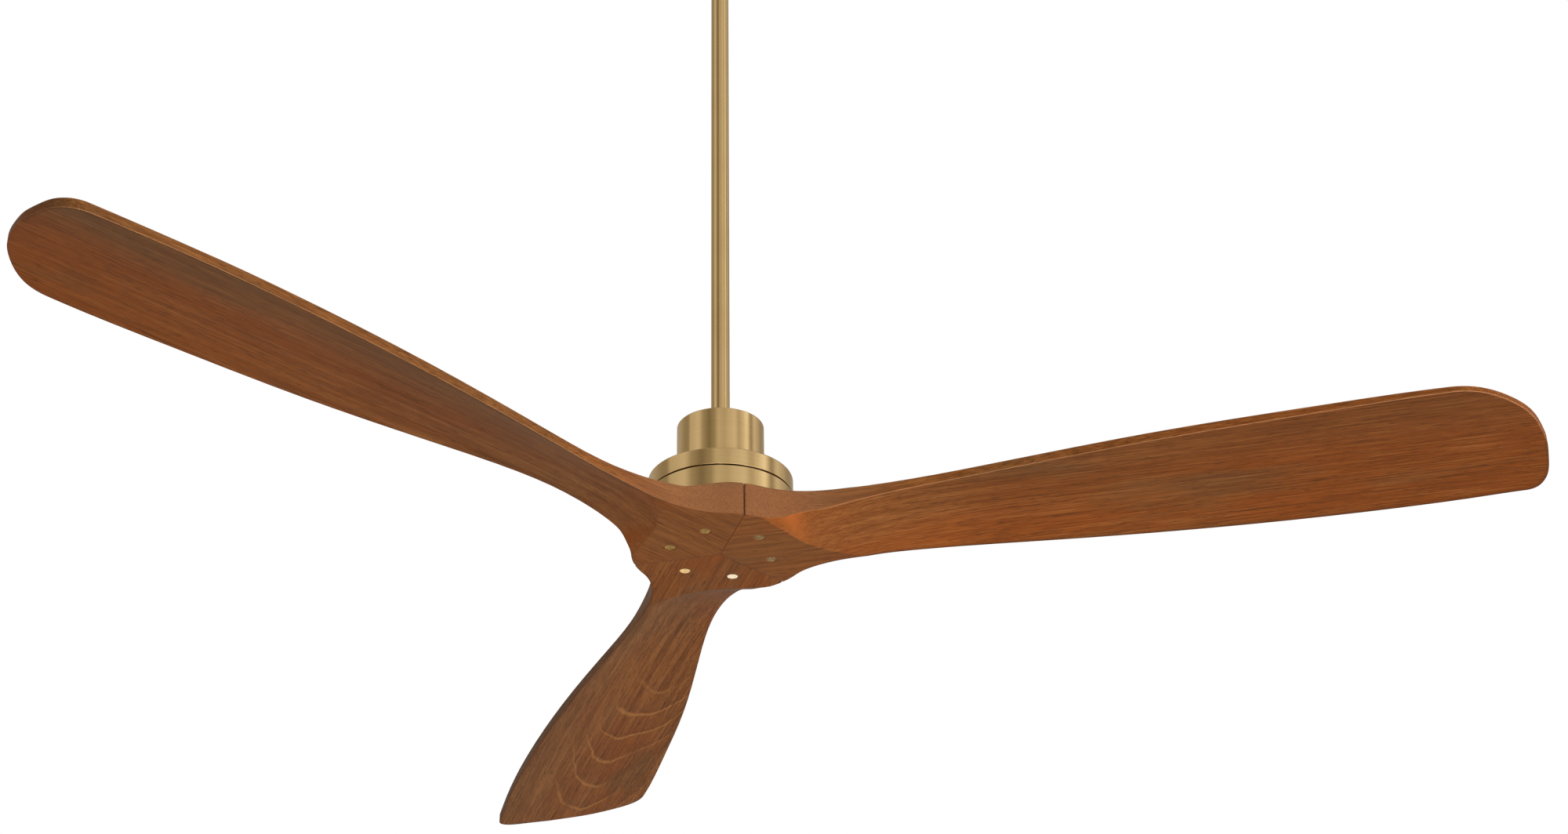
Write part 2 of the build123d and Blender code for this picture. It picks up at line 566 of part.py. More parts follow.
def coupler_clip():
    """The spring clip in the end of the cross pin."""
    y = COUPLER_R + 3
    low = COUPLER_PIN_H - 7
    high = low + CLIP_LENGTH
    path = FilletPolyline((0, y, low), (0, y, high), (CLIP_WIDTH, y, high), (CLIP_WIDTH, y, low), radius=3.0)
    return sweep(Plane((0, y, low)) * Circle(CLIP_WIRE_R), path)


def set_screws():
    """Two set screws that bear on the rod's lower end."""
    screw = bar_x(SET_SCREW_R, ROD_R, COUPLER_R + 3, 0, SET_SCREW_H)
    socket = bar_x(HEX_KEY_R, COUPLER_R, COUPLER_R + 4, 0, SET_SCREW_H)
    return around(screw - socket, 2)


def downrod():
    """The brass-plated pipe, cross drilled at both ends."""
    pipe = tube(ROD_BORE_R, ROD_R, ROD_BASE, ROD_TOP)
    low_hole = bar_y(COUPLER_PIN_R + 0.1, -20, 20, 0, COUPLER_PIN_H)
    high_hole = bar_y(BALL_PIN_R + 0.1, -20, 20, 0, BALL_PIN_H)
    return pipe - low_hole - high_hole


def coupling_cover():
    """The neck: a brass cup over the coupler, resting on the upper housing."""
    inner = NECK_R - NECK_WALL
    hole = ROD_R + 0.3
    under = NECK_TOP - NECK_WALL
    cup = turned((inner, HOUSING_TOP), (NECK_R, HOUSING_TOP), (NECK_R, NECK_TOP),
                 (hole, NECK_TOP), (hole, under), (inner, under))
    cup = rounded(cup, 1.2, at_ring(NECK_R, NECK_TOP))
    return rounded(cup, 0.4, at_ring(NECK_R, HOUSING_TOP))


def motor_leads():
    """Three insulated leads from the shaft's hole up through the rod."""
    leads = []
    x, outer_x = 2.4, 5.5  # inside the shaft's bore, and against the rod's wider one
    for y in LEAD_YS:
        start = (x, y, CORE_TOP + 2)
        path = FilletPolyline(start, (x, y, SHAFT_TOP - 2), (outer_x, y, ROD_BASE + 4),
                              (outer_x, y, ROD_TOP + 1), radius=8)
        leads.append(sweep(Plane(start) * Circle(LEAD_R), path))
    return leads


# ---- driver electronics inside the neck ----

BOARD_BASE, BOARD_T = HOUSING_TOP + 7.0, 1.6
BOARD_R, BOARD_BORE_R = 44.0, 29.0
POST_R, POST_HALF = 40.5, 2.8
POST_SET = (3, 40)


def board_posts():
    """Three pillars that carry the driver board."""
    post = extrude(RegularPolygon(POST_HALF, 6), BOARD_BASE - HOUSING_TOP)
    return around(Pos(POST_R, 0, HOUSING_TOP) * post, *POST_SET)


def driver_board():
    """The ring-shaped circuit board round the coupler."""
    board = tube(BOARD_BORE_R, BOARD_R, BOARD_BASE, BOARD_BASE + BOARD_T)
    hole = Pos(POST_R, 0, 0) * disc(1.6, BOARD_BASE - 1, BOARD_BASE + 3)
    return cut_all(board, around(hole, *POST_SET))


def driver_parts():
    """Capacitors, power devices, a choke and a connector on the board."""
    top = BOARD_BASE + BOARD_T
    ring = (BOARD_R + BOARD_BORE_R) / 2

    def on_board(angle, piece):
        return Rot(0, 0, angle) * Pos(ring, 0, 0) * piece

    parts = [on_board(a, disc(5.0, top, top + 16)) for a in (-75, -50)]
    parts += [on_board(a, block(-5, 5, -2.2, 2.2, top, top + 15)) for a in (0, 15, 65, 85)]
    parts.append(on_board(190, tube(2.8, 6.5, top, top + 6)))
    parts.append(on_board(240, block(-4, 4, -8, 8, top, top + 9)))
    parts.append(on_board(130, block(-5, 5, -5, 5, top, top + 1.4)))
    return parts


# ---- hanger ball and bracket ----

BRACKET_T = 3.0
RING_R, RING_LOW, RING_HIGH = 36.0, BALL_H - 18.0, BALL_H - 7.0
LEG_HALF = 14.0
PLATE_X, PLATE_Y = 66.0, 16.0
BOX_SCREW_X, BOX_SCREW_R = 44.45, 2.6  # 3.5 inch spacing of a ceiling box
TAB_DEPTH = 20.0
CANOPY_R, CANOPY_WALL, CANOPY_HOLE_R = 70.0, 1.2, 30.0
CANOPY_SCREW_H, CANOPY_SCREW_R = DROP - 13.0, 2.0
CANOPY_HEAD_R, CANOPY_HEAD_T = 4.0, 2.4
CANOPY_FLAT_R = 44.0  # its flat bottom's edge
CANOPY_SHOULDER = CANOPY_BASE + 22.0  # where its bowl meets its straight side
CANOPY_BOWL = (62.0, CANOPY_BASE + 7.0)  # a point the bowl's outside passes through
CANOPY_BOWL_INSIDE = (61.2, CANOPY_BASE + 8.0)
MOUTH_HALF = 12.5  # half the seat's open mouth, wide enough for the rod


def hanger_ball():
    """The ball the fan hangs by, with a pin slot on top and a key groove at one side."""
    ball = Pos(0, 0, BALL_H) * Sphere(BALL_R)
    ball = ball & disc(40, BALL_BASE, BALL_TOP)
    bore = disc(ROD_R + CLEAR, BALL_BASE - 5, BALL_TOP + 5)
    pin_slot = block(-3.5, 3.5, -18, 18, BALL_PIN_H - BALL_PIN_R - 0.1, BALL_TOP + 5)
    groove = block(KEY_TIP - 1, 32, -KEY_R - 0.2, KEY_R + 0.2, BALL_H - 16, BALL_H + 16)
    tapped = bar_y(SET_SCREW_R + 0.02, -32, 0, 0, BALL_SCREW_H)
    return ball - bore - pin_slot - groove - tapped


def hanger_ball_pin():
    """The cross pin that keeps the rod in the ball."""
    return bar_y(BALL_PIN_R, -17, 17, 0, BALL_PIN_H)


def ball_set_screw():
    """The screw that locks the ball on the rod."""
    screw = bar_y(SET_SCREW_R, -24, -ROD_R, 0, BALL_SCREW_H)
    return screw - bar_y(HEX_KEY_R, -25, -21, 0, BALL_SCREW_H)


def hanger_bracket():
    """The steel bracket: ceiling plate, two legs, ball seat and two tabs for the canopy."""
    plate_low = DROP - BRACKET_T
    plate = block(-PLATE_X, PLATE_X, -PLATE_Y, PLATE_Y, plate_low, DROP)
    plate = rounded(plate, 6, lambda e: abs(e.center().Z - plate_low - BRACKET_T / 2) < TOUCH
                    and e.length < BRACKET_T + TOUCH)
    seat = disc(RING_R, RING_LOW, RING_HIGH) - Pos(0, 0, BALL_H) * Sphere(BALL_R + 0.05)
    mouth = block(-MOUTH_HALF, MOUTH_HALF, 0, 40, RING_LOW - 1, RING_HIGH + 1)
    leg = block(RING_R - BRACKET_T, RING_R, -LEG_HALF, LEG_HALF, RING_HIGH - 1, plate_low)
    tab = block(PLATE_X - 2.5, PLATE_X, -9, 9, DROP - TAB_DEPTH, plate_low)
    key = bar_x(KEY_R, KEY_TIP, RING_R, 0, BALL_H)
    body = plate + (seat - mouth)
    for turn in (0, 180):
        body = body + Rot(0, 0, turn) * leg + Rot(0, 0, turn) * tab
    body = body + (key - Pos(0, 0, BALL_H) * Sphere(KEY_TIP))
    box_holes = [Pos(x, 0, 0) * disc(BOX_SCREW_R, plate_low - 1, DROP + 1)
                 for x in (-BOX_SCREW_X, BOX_SCREW_X)]
    tapped = bar_x(CANOPY_SCREW_R + 0.02, -PLATE_X - 1, PLATE_X + 1, 0, CANOPY_SCREW_H)
    lead_hole = Pos(0, 13.0, 0) * disc(2.0, plate_low - 1, DROP + 1)
    return cut_all(body, box_holes + [tapped, lead_hole])


def canopy():
    """The brass cup that hides the bracket."""
    inner = CANOPY_R - CANOPY_WALL
    top = DROP - 0.8
    floor_top = CANOPY_BASE + CANOPY_WALL
    profile = Curve() + [
        Line((CANOPY_HOLE_R, CANOPY_BASE), (CANOPY_FLAT_R, CANOPY_BASE)),
        Spline((CANOPY_FLAT_R, CANOPY_BASE), CANOPY_BOWL, (CANOPY_R, CANOPY_SHOULDER),
               tangents=((1, 0), (0, 1))),
        Line((CANOPY_R, CANOPY_SHOULDER), (CANOPY_R, top)),
        Line((CANOPY_R, top), (inner, top)),
        Line((inner, top), (inner, CANOPY_SHOULDER)),
        Spline((inner, CANOPY_SHOULDER), CANOPY_BOWL_INSIDE, (CANOPY_FLAT_R, floor_top),
               tangents=((0, -1), (-1, 0))),
        Line((CANOPY_FLAT_R, floor_top), (CANOPY_HOLE_R, floor_top)),
        Line((CANOPY_HOLE_R, floor_top), (CANOPY_HOLE_R, CANOPY_BASE)),
    ]
    cup = revolve(Plane.XZ * make_face(profile), Axis.Z)
    return cup - bar_x(CANOPY_SCREW_R + 0.3, -CANOPY_R - 2, CANOPY_R + 2, 0, CANOPY_SCREW_H)


def canopy_screws():
    """Two screws through the canopy into the bracket's tabs."""
    head = bar_x(CANOPY_HEAD_R, CANOPY_R, CANOPY_R + CANOPY_HEAD_T, 0, CANOPY_SCREW_H)
    shank = bar_x(CANOPY_SCREW_R, PLATE_X - 5, CANOPY_R, 0, CANOPY_SCREW_H)
    slot = block(CANOPY_R + 1.4, CANOPY_R + 3, -5, 5, CANOPY_SCREW_H - 0.5, CANOPY_SCREW_H + 0.5)
    return around(head + shank - slot, 2)


RECEIVER_X, RECEIVER_Y, RECEIVER_T = 29.0, 11.0, 13.0
SUPPLY_XS = (-6.0, 0.0, 6.0)
SUPPLY_H, SUPPLY_R = DROP - 12.0, 1.2


def receiver_box():
    """The remote receiver under the bracket's plate."""
    top = DROP - BRACKET_T
    box = block(-RECEIVER_X, RECEIVER_X, -RECEIVER_Y, RECEIVER_Y, top - RECEIVER_T, top)
    return rounded(box, 2, lambda e: abs(e.length - RECEIVER_T) < TOUCH)


def supply_leads():
    """Three leads from the receiver's side to the ceiling."""
    leads = []
    for x in SUPPLY_XS:
        start = (x, RECEIVER_Y, SUPPLY_H)
        path = FilletPolyline(start, (x, PLATE_Y + 4, SUPPLY_H), (x, PLATE_Y + 4, DROP), radius=4)
        leads.append(sweep(Plane(start, z_dir=(0, 1, 0)) * Circle(SUPPLY_R), path))
    return leads


# ---- the whole fan ----

def fan():
    """Every sub-part of the fan by name."""
    pieces = {name: blade(azimuth) for name, azimuth in BLADE_AZIMUTHS.items()}
    makers = [
        blade_screws, screw_caps, hub_pad, lower_housing, rotor_shell, rotor_cover,
        rotor_cover_screws, rotor_magnets, motor_shaft, shaft_circlip, bearing_spacer,
        stator_hub, stator_core, stator_insulators, stator_windings, shaft_flange, upper_housing,
        motor_coupler,
        flange_screws, coupler_pin, coupler_clip, set_screws, downrod, coupling_cover,
        motor_leads, board_posts, driver_board, driver_parts, hanger_ball, hanger_ball_pin,
        ball_set_screw, hanger_bracket, canopy, canopy_screws, receiver_box, supply_leads,
    ]
    pieces.update((maker.__name__, maker()) for maker in makers)
    for place_name, low in (("lower", LOWER_BRG), ("upper", UPPER_BRG)):
        pieces[place_name + "_bearing_inner"] = bearing_inner(low)
        pieces[place_name + "_bearing_outer"] = bearing_outer(low)
        pieces[place_name + "_bearing_balls"] = bearing_balls(low)
        pieces[place_name + "_bearing_cage"] = bearing_cage(low)
    return pieces


def place(piece):
    """A finished piece, lowered so that the ceiling plane is at height 0."""
    if isinstance(piece, list):
        return Compound([Pos(0, 0, -DROP) * solid for one in piece for solid in one.solids()])
    return Pos(0, 0, -DROP) * piece


os.makedirs("parts", exist_ok=True)
for name, piece in fan().items():
    export_step(place(piece), f"parts/{name}.step")
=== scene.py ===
import math
import bpy
from mathutils import Matrix, Vector


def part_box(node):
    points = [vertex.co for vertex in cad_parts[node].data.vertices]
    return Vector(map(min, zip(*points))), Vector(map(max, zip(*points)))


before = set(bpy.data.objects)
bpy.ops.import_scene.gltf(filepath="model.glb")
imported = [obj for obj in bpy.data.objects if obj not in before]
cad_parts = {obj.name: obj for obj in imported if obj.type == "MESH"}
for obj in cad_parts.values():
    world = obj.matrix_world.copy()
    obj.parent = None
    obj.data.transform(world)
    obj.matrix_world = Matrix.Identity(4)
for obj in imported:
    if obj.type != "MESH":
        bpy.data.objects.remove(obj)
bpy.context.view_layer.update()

# Looks for the ceiling fan. Everything is in metres in the CAD frame: the origin is the middle
# of the ceiling plane and the fan hangs below it.

HUB_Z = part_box("blade_far")[0][2]  # the flat underside of the wooden hub
BLADE_AZIMUTHS = {"blade_right": -14.85, "blade_far": 105.15, "blade_left": 225.15}


# ---- a small kit for building node trees ----

class Nodes:
    """A node tree with short calls for the nodes used here."""

    def __init__(self, tree):
        self.tree = tree

    def add(self, kind, **settings):
        """A new node with its own settings."""
        node = self.tree.nodes.new(kind)
        for key, value in settings.items():
            setattr(node, key, value)
        return node

    def put(self, socket, value):
        """Links a socket or sets a plain value."""
        if isinstance(value, bpy.types.NodeSocket):
            self.tree.links.new(value, socket)
        else:
            socket.default_value = value

    def apart(self, vector):
        """A vector's x, y and z."""
        node = self.add("ShaderNodeSeparateXYZ")
        self.put(node.inputs[0], vector)
        return tuple(node.outputs)

    def dot(self, a, b):
        """How far two directions agree, 1 when they are the same."""
        node = self.add("ShaderNodeVectorMath", operation="DOT_PRODUCT")
        self.put(node.inputs[0], a)
        self.put(node.inputs[1], b)
        return node.outputs["Value"]

    def maths(self, operation, a, b=0.0):
        """One maths node."""
        node = self.add("ShaderNodeMath", operation=operation)
        self.put(node.inputs[0], a)
        self.put(node.inputs[1], b)
        return node.outputs[0]

    def times(self, first, *others):
        """Values multiplied together."""
        for other in others:
            first = self.maths("MULTIPLY", first, other)
        return first

    def noise(self, vector, scale=1.0, detail=3.0, rough=0.5, bend=0.0):
        """Noise from 0 to 1."""
        node = self.add("ShaderNodeTexNoise")
        self.put(node.inputs["Vector"], vector)
        node.inputs["Scale"].default_value = scale
        node.inputs["Detail"].default_value = detail
        node.inputs["Roughness"].default_value = rough
        node.inputs["Distortion"].default_value = bend
        return node.outputs["Fac"]

    def ramp(self, value, *stops, interpolation="LINEAR"):
        """A colour ramp of (place, colour) stops."""
        node = self.add("ShaderNodeValToRGB")
        node.color_ramp.interpolation = interpolation
        self.put(node.inputs[0], value)
        elements = node.color_ramp.elements
        while len(elements) < len(stops):
            elements.new(0.5)
        for element, (place, colour) in zip(elements, stops):
            element.position = place
            element.color = (*colour, 1)
        return node.outputs[0]

    def spread(self, value, low, high, to_low=0.0, to_high=1.0):
        """A value's range mapped to another, clamped."""
        node = self.add("ShaderNodeMapRange")
        self.put(node.inputs[0], value)
        for socket, number in zip(node.inputs[1:5], (low, high, to_low, to_high)):
            socket.default_value = number
        return node.outputs[0]

    def mix(self, share, a, b, blend="MIX"):
        """Two colours mixed."""
        node = self.add("ShaderNodeMix", data_type="RGBA", blend_type=blend)
        self.put(node.inputs["Factor"], share)
        self.put(node.inputs["A"], a if isinstance(a, bpy.types.NodeSocket) else (*a, 1))
        self.put(node.inputs["B"], b if isinstance(b, bpy.types.NodeSocket) else (*b, 1))
        return node.outputs["Result"]


class Shader(Nodes):
    """A new material's node tree."""

    def __init__(self, name):
        self.mat = bpy.data.materials.new(name)
        self.mat.use_nodes = True
        super().__init__(self.mat.node_tree)
        self.surface = self.tree.nodes["Principled BSDF"]
        self.coords = self.add("ShaderNodeTexCoord").outputs["Object"]

    def mapped(self, scale, turn=0.0, shift=(0, 0, 0)):
        """Object coordinates turned about Z, then scaled and shifted."""
        turned = self.add("ShaderNodeMapping")
        self.put(turned.inputs["Vector"], self.coords)
        turned.inputs["Rotation"].default_value = (0, 0, turn)
        scaled = self.add("ShaderNodeMapping")
        self.put(scaled.inputs["Vector"], turned.outputs[0])
        scaled.inputs["Scale"].default_value = scale
        scaled.inputs["Location"].default_value = shift
        return scaled.outputs[0]

    def eased(self, radius):
        """The surface's direction with sharp edges rounded by a radius."""
        bevel = self.add("ShaderNodeBevel", samples=6)
        bevel.inputs["Radius"].default_value = radius
        return bevel.outputs[0]

    def finish(self, colour, roughness, metallic=0.0, bump=None, depth=0.0003, edge=0.0,
               normal=None):
        """Sets the surface. edge softens the shading of sharp edges by that radius."""
        inputs = self.surface.inputs
        self.put(inputs["Base Color"], colour if isinstance(colour, bpy.types.NodeSocket) else (*colour, 1))
        self.put(inputs["Roughness"], roughness)
        self.put(inputs["Metallic"], metallic)
        if edge:
            normal = self.eased(edge)
        if bump is not None:
            node = self.add("ShaderNodeBump")
            node.inputs["Strength"].default_value = 1.0
            node.inputs["Distance"].default_value = depth
            self.put(node.inputs["Height"], bump)
            if normal:
                self.put(node.inputs["Normal"], normal)
            normal = node.outputs[0]
        if normal:
            self.put(inputs["Normal"], normal)
        return self.mat


# ---- materials ----

# Wood stains and painted light, from the pores' near black to the pale painted highlight on the
# eased edges. The pores' black also paints a shade line, the dark, red, root and olive tones are
# partly painted shade, light and sheen, and the grey is a painted sheen.
PORE_AND_EDGE_SHADE = (0.036, 0.012, 0.003)
SEAM_BLACK = (0.010, 0.005, 0.003)
DARK_STAIN_AND_SHADE = (0.056, 0.017, 0.004)
STAIN = (0.124, 0.041, 0.009)
STAIN_LIGHT = (0.190, 0.074, 0.019)
RED_STAIN_AND_LIGHT = (0.136, 0.032, 0.004)
ROOT_STAIN_AND_LIGHT = (0.250, 0.064, 0.012)
OLIVE_STAIN_AND_SHEEN = (0.080, 0.038, 0.013)
PAINTED_SHEEN_GREY = (0.076, 0.048, 0.026)
STAIN_WALL = (0.118, 0.054, 0.026)
STAIN_PALE = (0.34, 0.145, 0.040)
PAINTED_EDGE_HIGHLIGHT = (0.52, 0.27, 0.13)
SHEEN_TINT = (1.0, 0.74, 0.50, 1)
WOOD_GLOSS = 0.12  # the reflection's strength, where 0.5 is plain varnish

# Sizes on a blade, whose local x runs from the hub's axis along the blade.
ARRIS = 0.0020  # how far the sharp edges are eased
CREASE = 0.0075  # how wide the shade under the +y edge is
SEAM_SHADE, SEAM_CORE = 0.0007, 0.0002  # the dark line beside a seam, and its darkest part
SEAM_ANGLE = math.radians(60)
HUB_END, BLADE_START = 0.085, 0.15  # the blade's own edges come in between these
PITH_DEPTH = 0.055  # how far under the plank the tree's centre lay
PITH_Y = -0.046  # how far to the side of the blade's middle it lay
PITH_WANDER = 0.013
RING_PITCH = 0.0066
RING_SLOPE = 0.080  # how much the plank leans across the rings


class Plank(Shader):
    """Stained wood with its grain along the blade."""

    def __init__(self, name, azimuth, seed):
        super().__init__(name)
        self.turn = -math.radians(azimuth)
        self.shift = (seed * 3.7, seed * 1.3, seed * 2.1)
        self.zones = self.grain(1.9, 8, detail=2)
        self.clouds = self.grain(4, 15, detail=3)
        self.streaks = self.grain(2.2, 95, detail=4, rough=0.62, bend=0.25)
        self.fine = self.grain(12, 560, detail=2, rough=0.6)
        self.pores = self.grain(70, 900, detail=1)
        self.x, self.y, self.z = self.apart(self.mapped((1, 1, 1), self.turn))
        self.rounded = self.eased(ARRIS)
        self.flat = self.add("ShaderNodeNewGeometry").outputs["True Normal"]

    def grain(self, along, across, **settings):
        """Noise drawn out along the blade."""
        return self.noise(self.mapped((along, across, across), self.turn, self.shift), **settings)

    def ring_lines(self, strength):
        """The tree's rings cut by the carved face: dark late wood, and a pale line beside it."""
        wander = self.grain(3.2, 10, detail=3)
        side = self.maths("ADD", self.y, self.spread(wander, 0.2, 0.8, -PITH_WANDER - PITH_Y,
                                                     PITH_WANDER - PITH_Y))
        height = self.maths("SUBTRACT", self.z, HUB_Z - PITH_DEPTH)
        rise = self.maths("ADD", height, self.times(self.x, RING_SLOPE))
        squares = self.maths("ADD", self.maths("POWER", side, 2), self.maths("POWER", rise, 2))
        uneven = self.spread(self.zones, 0.35, 0.65, 0.0, 0.9 * RING_PITCH)
        away = self.maths("ADD", self.maths("SQRT", squares), uneven)
        ring = self.maths("FRACT", self.times(away, 1 / RING_PITCH))
        arched = self.times(self.spread(self.x, 0.34, 0.50), self.spread(self.y, 0.045, 0.0))
        late_wood = self.times(self.spread(ring, 0.1, 0.85), arched, 0.8 * strength)
        pale_line = self.times(self.spread(ring, 0.82, 0.91), self.spread(ring, 1.0, 0.91), arched,
                               self.spread(self.clouds, 0.32, 0.5, 0.0, 1.2 * strength))
        return late_wood, pale_line

    def stains(self, redness, sheen_side):
        """The broad tones: streaks, calmer on the hub, red zones, painted redder and darker tones toward
        the tip for the light and sheen falling off, olive clouds, and a painted olive sheen along one side.
        """
        colour = self.ramp(self.streaks, (0.30, DARK_STAIN_AND_SHADE), (0.48, STAIN), (0.68, STAIN_LIGHT))
        colour = self.mix(self.spread(self.x, 0.08, 0.22, 0.74, 0.22), colour, STAIN)
        colour = self.mix(self.spread(self.zones, 0.48, 0.66, 0.0, 0.75), colour, RED_STAIN_AND_LIGHT)
        # Painted light: redder toward the tip, and darker too where redness passes 0.75, standing in for
        # the light and sheen falling off along the blade.
        colour = self.mix(self.spread(self.x, 0.22, 0.62, 0.0, redness), colour, RED_STAIN_AND_LIGHT)
        darkness = max(0.0, redness - 0.75)
        colour = self.mix(self.spread(self.x, 0.40, 0.75, 0.0, darkness), colour, DARK_STAIN_AND_SHADE)
        colour = self.mix(self.spread(self.clouds, 0.44, 0.30, 0.0, 0.6), colour, OLIVE_STAIN_AND_SHEEN)
        # Painted sheen: an olive band along one side of the blade, from near the root outward.
        toward = self.maths("ADD", self.times(self.y, math.copysign(1, sheen_side)),
                            self.spread(self.zones, 0.3, 0.7, -0.015, 0.015))
        olive = self.times(self.spread(toward, 0.005, 0.075, 0.0, abs(sheen_side)),
                           self.spread(self.x, 0.12, 0.3))
        return self.mix(olive, colour, OLIVE_STAIN_AND_SHEEN)

    def figure(self, colour, arches):
        """The colour with fine streaks, ring lines and pores over it."""
        late_wood, pale_line = self.ring_lines(arches)
        colour = self.mix(self.spread(self.fine, 0.50, 0.72, 0.0, 0.85), colour, DARK_STAIN_AND_SHADE)
        colour = self.mix(self.spread(self.fine, 0.47, 0.28, 0.0, 0.55), colour, STAIN_LIGHT)
        colour = self.mix(late_wood, colour, DARK_STAIN_AND_SHADE)
        colour = self.mix(pale_line, colour, STAIN_PALE)
        return self.mix(self.spread(self.pores, 0.58, 0.70, 0.0, 0.7), colour, PORE_AND_EDGE_SHADE)

    def seam_lines(self, colour, strengths):
        """The colour with the joints to the neighbouring planks drawn at the -y and +y sides."""
        for sign, strength in zip((-1, 1), strengths):
            across = self.times(self.y, sign * math.cos(SEAM_ANGLE))
            to_seam = self.maths("SUBTRACT", self.times(self.x, math.sin(SEAM_ANGLE)), across)
            line = self.spread(to_seam, SEAM_SHADE, SEAM_CORE, 0.0, strength)
            colour = self.mix(line, colour, SEAM_BLACK)
        return colour

    def steep_root(self, colour, root):
        """The colour with the steep carving next to the hub, picked by its tilt, given its own tone:
        partly stain, partly painted light, brighter on the right blade and a painted grey sheen on
        the far one.
        """
        down = self.apart(self.rounded)[2]
        steep = self.times(self.spread(down, -0.985, -0.88), self.spread(down, -0.6, -0.72),
                           self.spread(self.x, 0.30, 0.15), 0.8)
        return self.mix(steep, colour, root)

    def edge_tones(self, colour):
        """The colour with a painted highlight on the eased edges facing the room, painted shade along
        the +y edge and in a band beside it, and the hub's paler end grain."""
        down = self.apart(self.flat)[2]
        outward = self.apart(self.rounded)[1]
        on_blade = self.spread(self.x, HUB_END, BLADE_START)
        arris = self.times(self.spread(self.dot(self.rounded, self.flat), 0.98, 0.84), on_blade)
        # The carved face beside the +y edge: it gets painted shade and no painted highlight.
        shaded_side = self.times(self.spread(self.y, 0.0, 0.01), self.spread(down, -0.5, -0.7))
        # Painted highlight: the eased edges that face the room turned pale, except on the shaded side.
        lit = self.times(arris, self.spread(outward, -0.15, -0.5, 0.0, 0.45))
        colour = self.mix(self.times(lit, self.maths("SUBTRACT", 1.0, shaded_side)), colour, PAINTED_EDGE_HIGHLIGHT)
        # Painted shade: a near black line along the eased +y edge on its carved side.
        colour = self.mix(self.times(arris, shaded_side, 0.85), colour, PORE_AND_EDGE_SHADE)
        # Painted shade: a darker band on the carved face under the +y edge.
        beside = self.spread(self.dot(self.eased(CREASE), self.flat), 0.999, 0.93)
        colour = self.mix(self.times(beside, shaded_side, on_blade, 0.6), colour, DARK_STAIN_AND_SHADE)
        wall = self.times(self.spread(down, -0.4, -0.1), self.spread(self.x, 0.24, 0.12, 0.0, 0.55))
        return self.mix(wall, colour, STAIN_WALL)


def walnut(name, azimuth, seed, arches, redness, root, sheen_side, seams):
    """One plank's wood. arches sets how strong the rings show, redness how red (and above 0.75 how
    dark) the outer blade is painted as its light and sheen fall off, root the tone of the steep
    carving at the hub, partly stain and partly painted light, heart how olive a painted sheen turns
    the wood toward +y (or -y if negative), and seams how dark the joints at the hub's -y and +y
    sides are."""
    s = Plank(name, azimuth, seed)
    colour = s.figure(s.stains(redness, sheen_side), arches)
    colour = s.steep_root(s.seam_lines(colour, seams), root)
    relief = s.maths("SUBTRACT", s.times(s.fine, 0.35), s.spread(s.pores, 0.60, 0.74))
    roughness = s.spread(s.streaks, 0.3, 0.7, 0.50, 0.40)
    mat = s.finish(s.edge_tones(colour), roughness, bump=relief, depth=0.00004, normal=s.rounded)
    s.surface.inputs["Specular IOR Level"].default_value = WOOD_GLOSS
    s.surface.inputs["Specular Tint"].default_value = SHEEN_TINT
    return mat


def brushed_brass(name, around=True, tint=1.0):
    """Satin brass, brushed round the axis or along it. Highlights run as bands along the axis."""
    s = Shader(name)
    lines = s.mapped((9, 9, 2600) if around else (2400, 2400, 5))
    brush = s.noise(lines, detail=3, rough=0.5)
    cloud = s.noise(s.mapped((22, 22, 14)), detail=3)
    warm = (0.70 * tint, 0.46 * tint, 0.19 * tint)
    pale = (0.80 * tint, 0.58 * tint, 0.29 * tint)
    dull = (0.60 * tint, 0.39 * tint, 0.16 * tint)
    colour = s.mix(s.spread(brush, 0.3, 0.7, 0.25, 0.75), warm, pale)
    colour = s.mix(s.spread(cloud, 0.5, 0.8, 0.0, 0.35), colour, dull)
    roughness = s.maths("ADD", s.spread(brush, 0.3, 0.7, 0.16, 0.19),
                        s.spread(cloud, 0.4, 0.8, 0.0, 0.03))
    mat = s.finish(colour, roughness, 1.0, bump=brush, depth=0.000001, edge=0.0005)
    s.surface.inputs["Anisotropic"].default_value = 0.85
    s.surface.inputs["Anisotropic Rotation"].default_value = 0.25
    tangent = s.add("ShaderNodeTangent", direction_type="RADIAL", axis="Z")
    s.put(s.surface.inputs["Tangent"], tangent.outputs[0])
    return mat


def bright_brass(name):
    """Polished caps and screw heads with fine turning marks. Their colour is a painted reflection
    that differs by place: bright toward +Y, golden toward -X and browner toward +X."""
    s = Shader(name)
    x, y, _ = s.apart(s.coords)
    spots = s.noise(s.mapped((260, 260, 260)), detail=3)
    marks = s.noise(s.mapped((900, 900, 4000)), detail=2)
    # Painted reflection: each cap's colour set by where it sits, dim toward -Y and bright toward +Y.
    dim_reflection = s.mix(s.spread(x, 0.0, 0.03), (0.26, 0.145, 0.035), (0.20, 0.115, 0.045))
    bright = s.mix(s.spread(x, -0.03, 0.0), (0.80, 0.54, 0.24), (1.0, 0.84, 0.60))
    colour = s.mix(s.spread(y, 0.022, 0.034), dim_reflection, bright)
    colour = s.mix(s.spread(spots, 0.50, 0.75, 0.0, 0.4), colour, (0.50, 0.34, 0.15))
    mat = s.finish(colour, s.spread(spots, 0.3, 0.8, 0.20, 0.36), 0.45, bump=marks, depth=0.00001,
                   edge=0.0004)
    s.surface.inputs["Specular IOR Level"].default_value = 0.15
    return mat


